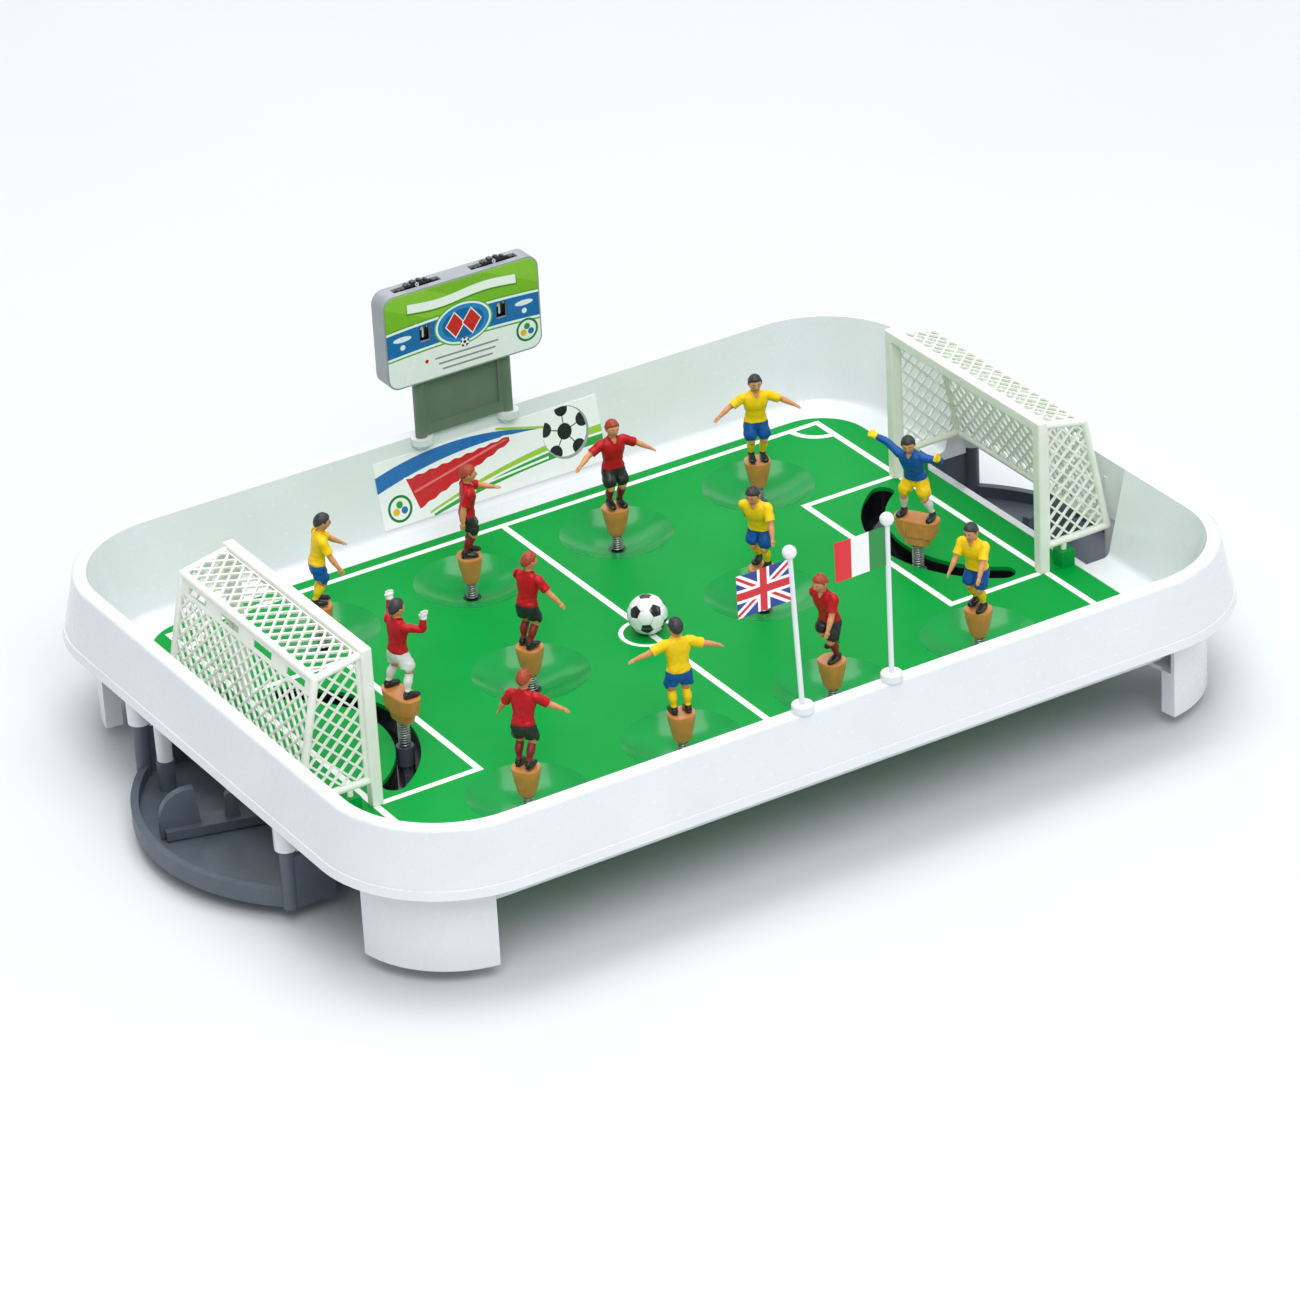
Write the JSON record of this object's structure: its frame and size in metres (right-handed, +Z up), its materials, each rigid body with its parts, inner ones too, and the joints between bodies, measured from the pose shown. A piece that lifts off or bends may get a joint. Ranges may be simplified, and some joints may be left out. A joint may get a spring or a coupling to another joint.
{
  "type": "table football game",
  "caption": "Table-top football game: a white tray round a green pitch, with players on springs, levered goalkeepers, net goals, ball trays, flags and a scoreboard.",
  "frame": {"origin": "on the surface that the game stands on, under the pitch's centre spot", "axes": "+X along the pitch, +Y to the scoreboard side, +Z up"},
  "size_m": [0.568, 0.3906, 0.171],
  "materials": {
    "white_plastic": "glossy moulded white ABS",
    "green_plastic": "glossy printed green styrene",
    "grey_plastic": "satin moulded dark grey ABS",
    "black_plastic": "glossy moulded black ABS",
    "spring_steel": "zinc-plated spring wire",
    "screw_steel": "zinc-plated screws",
    "net_plastic": "moulded white polypropylene",
    "figure_plastic": "painted PVC",
    "ball_plastic": "printed white plastic ball",
    "board_plastic": "moulded grey ABS",
    "stand_plastic": "moulded grey-green ABS",
    "wheel_plastic": "moulded black ABS with printed numbers",
    "printed_card": "gloss-laminated printed card",
    "flag_film": "printed plastic-coated paper"
  },
  "bodies": {
    "table": {"table_tray": "white_plastic", "pitch": "green_plastic", "pitch_dishes": "green_plastic", "spring_seats": "black_plastic", "leg_front_left": "white_plastic", "leg_front_right": "white_plastic", "leg_back_left": "white_plastic", "leg_back_right": "white_plastic", "slot_liner_left": "black_plastic", "slot_liner_right": "black_plastic", "end_tray_left": "grey_plastic", "end_tray_right": "grey_plastic", "goal_frame_left": "net_plastic", "goal_frame_right": "net_plastic", "goal_back_net_left": "net_plastic", "goal_back_net_right": "net_plastic", "goal_top_net_left": "net_plastic", "goal_top_net_right": "net_plastic", "goal_side_nets_left": "net_plastic", "goal_side_nets_right": "net_plastic", "spring_player_red_1": "spring_steel", "spring_player_red_2": "spring_steel", "spring_player_red_3": "spring_steel", "spring_player_red_4": "spring_steel", "spring_player_red_5": "spring_steel", "spring_player_yellow_1": "spring_steel", "spring_player_yellow_2": "spring_steel", "spring_player_yellow_3": "spring_steel", "spring_player_yellow_4": "spring_steel", "spring_player_yellow_5": "spring_steel", "scoreboard_front": "board_plastic", "scoreboard_back": "board_plastic", "scoreboard_card": "printed_card", "scoreboard_stand": "stand_plastic", "flag_pole_left": "white_plastic", "flag_pole_right": "white_plastic", "flag_left": "flag_film", "flag_right": "flag_film", "back_banner": "printed_card", "screws": "screw_steel"},
    "lever_left": {"keeper_lever_left": "grey_plastic", "spring_keeper_red": "spring_steel"},
    "lever_right": {"keeper_lever_right": "grey_plastic", "spring_keeper_yellow": "spring_steel"},
    "player_red_1": {"player_red_1": "figure_plastic"},
    "player_red_2": {"player_red_2": "figure_plastic"},
    "player_red_3": {"player_red_3": "figure_plastic"},
    "player_red_4": {"player_red_4": "figure_plastic"},
    "player_red_5": {"player_red_5": "figure_plastic"},
    "player_yellow_1": {"player_yellow_1": "figure_plastic"},
    "player_yellow_2": {"player_yellow_2": "figure_plastic"},
    "player_yellow_3": {"player_yellow_3": "figure_plastic"},
    "player_yellow_4": {"player_yellow_4": "figure_plastic"},
    "player_yellow_5": {"player_yellow_5": "figure_plastic"},
    "keeper_red": {"keeper_red": "figure_plastic"},
    "keeper_yellow": {"keeper_yellow": "figure_plastic"},
    "score_wheel_left": {"score_wheel_left": "wheel_plastic"},
    "score_wheel_right": {"score_wheel_right": "wheel_plastic"},
    "ball": {"ball": "ball_plastic"}
  },
  "joints": [
    {"name": "lever_left_swing", "type": "hinge", "parent": "table", "child": "lever_left", "pos_m": [-0.217, 0, 0.0105], "axis": [0, 0, 1], "range_deg": [-29.5, 60.5]},
    {"name": "lever_right_swing", "type": "hinge", "parent": "table", "child": "lever_right", "pos_m": [0.217, 0, 0.0105], "axis": [0, 0, 1], "range_deg": [-60.5, 29.5]},
    {"name": "player_red_1_bend", "type": "hinge", "parent": "table", "child": "player_red_1", "pos_m": [0.044, 0.102, 0.0293], "axis": [0.9962, -0.0872, 0], "range_deg": [-35, 35], "stiffness_Nm_per_rad": 0.06, "deforming": ["spring_player_red_1"]},
    {"name": "player_red_2_bend", "type": "hinge", "parent": "table", "child": "player_red_2", "pos_m": [-0.044, 0.102, 0.0293], "axis": [0.342, 0.9397, 0], "range_deg": [-35, 35], "stiffness_Nm_per_rad": 0.06, "deforming": ["spring_player_red_2"]},
    {"name": "player_red_3_bend", "type": "hinge", "parent": "table", "child": "player_red_3", "pos_m": [-0.069, 0, 0.0293], "axis": [-0.342, 0.9397, 0], "range_deg": [-35, 35], "stiffness_Nm_per_rad": 0.06, "deforming": ["spring_player_red_3"]},
    {"name": "player_red_4_bend", "type": "hinge", "parent": "table", "child": "player_red_4", "pos_m": [-0.132, -0.102, 0.0293], "axis": [-0.5736, 0.8192, 0], "range_deg": [-35, 35], "stiffness_Nm_per_rad": 0.06, "deforming": ["spring_player_red_4"]},
    {"name": "player_red_5_bend", "type": "hinge", "parent": "table", "child": "player_red_5", "pos_m": [0.044, -0.102, 0.0293], "axis": [0.2588, -0.9659, 0], "range_deg": [-35, 35], "stiffness_Nm_per_rad": 0.06, "deforming": ["spring_player_red_5"]},
    {"name": "player_yellow_1_bend", "type": "hinge", "parent": "table", "child": "player_yellow_1", "pos_m": [0.132, 0.102, 0.0293], "axis": [0.9397, -0.342, 0], "range_deg": [-35, 35], "stiffness_Nm_per_rad": 0.06, "deforming": ["spring_player_yellow_1"]},
    {"name": "player_yellow_2_bend", "type": "hinge", "parent": "table", "child": "player_yellow_2", "pos_m": [0.069, 0, 0.0293], "axis": [0.5736, -0.8192, 0], "range_deg": [-35, 35], "stiffness_Nm_per_rad": 0.06, "deforming": ["spring_player_yellow_2"]},
    {"name": "player_yellow_3_bend", "type": "hinge", "parent": "table", "child": "player_yellow_3", "pos_m": [-0.044, -0.102, 0.0293], "axis": [-0.9659, 0.2588, 0], "range_deg": [-35, 35], "stiffness_Nm_per_rad": 0.06, "deforming": ["spring_player_yellow_3"]},
    {"name": "player_yellow_4_bend", "type": "hinge", "parent": "table", "child": "player_yellow_4", "pos_m": [0.132, -0.102, 0.0293], "axis": [0.4226, -0.9063, 0], "range_deg": [-35, 35], "stiffness_Nm_per_rad": 0.06, "deforming": ["spring_player_yellow_4"]},
    {"name": "player_yellow_5_bend", "type": "hinge", "parent": "table", "child": "player_yellow_5", "pos_m": [-0.132, 0.102, 0.0293], "axis": [0.2588, 0.9659, 0], "range_deg": [-35, 35], "stiffness_Nm_per_rad": 0.06, "deforming": ["spring_player_yellow_5"]},
    {"name": "keeper_red_bend", "type": "hinge", "parent": "lever_left", "child": "keeper_red", "pos_m": [-0.15244, -0.01791, 0.0365], "axis": [-0.1132, 0.9936, 0], "range_deg": [-35, 35], "stiffness_Nm_per_rad": 0.06, "deforming": ["spring_keeper_red"]},
    {"name": "keeper_yellow_bend", "type": "hinge", "parent": "lever_right", "child": "keeper_yellow", "pos_m": [0.15244, -0.01791, 0.0365], "axis": [0.5, -0.866, 0], "range_deg": [-35, 35], "stiffness_Nm_per_rad": 0.06, "deforming": ["spring_keeper_yellow"]},
    {"name": "score_wheel_left_turn", "type": "hinge", "parent": "table", "child": "score_wheel_left", "pos_m": [-0.023, 0.178, 0.1504], "axis": [0, -1, 0], "continuous": true},
    {"name": "score_wheel_right_turn", "type": "hinge", "parent": "table", "child": "score_wheel_right", "pos_m": [0.023, 0.178, 0.1504], "axis": [0, -1, 0], "continuous": true},
    {"name": "ball_lift", "type": "slide", "parent": "table", "child": "ball", "axis": [0, 0, 1], "range_m": [0, 0.08]}
  ]
}
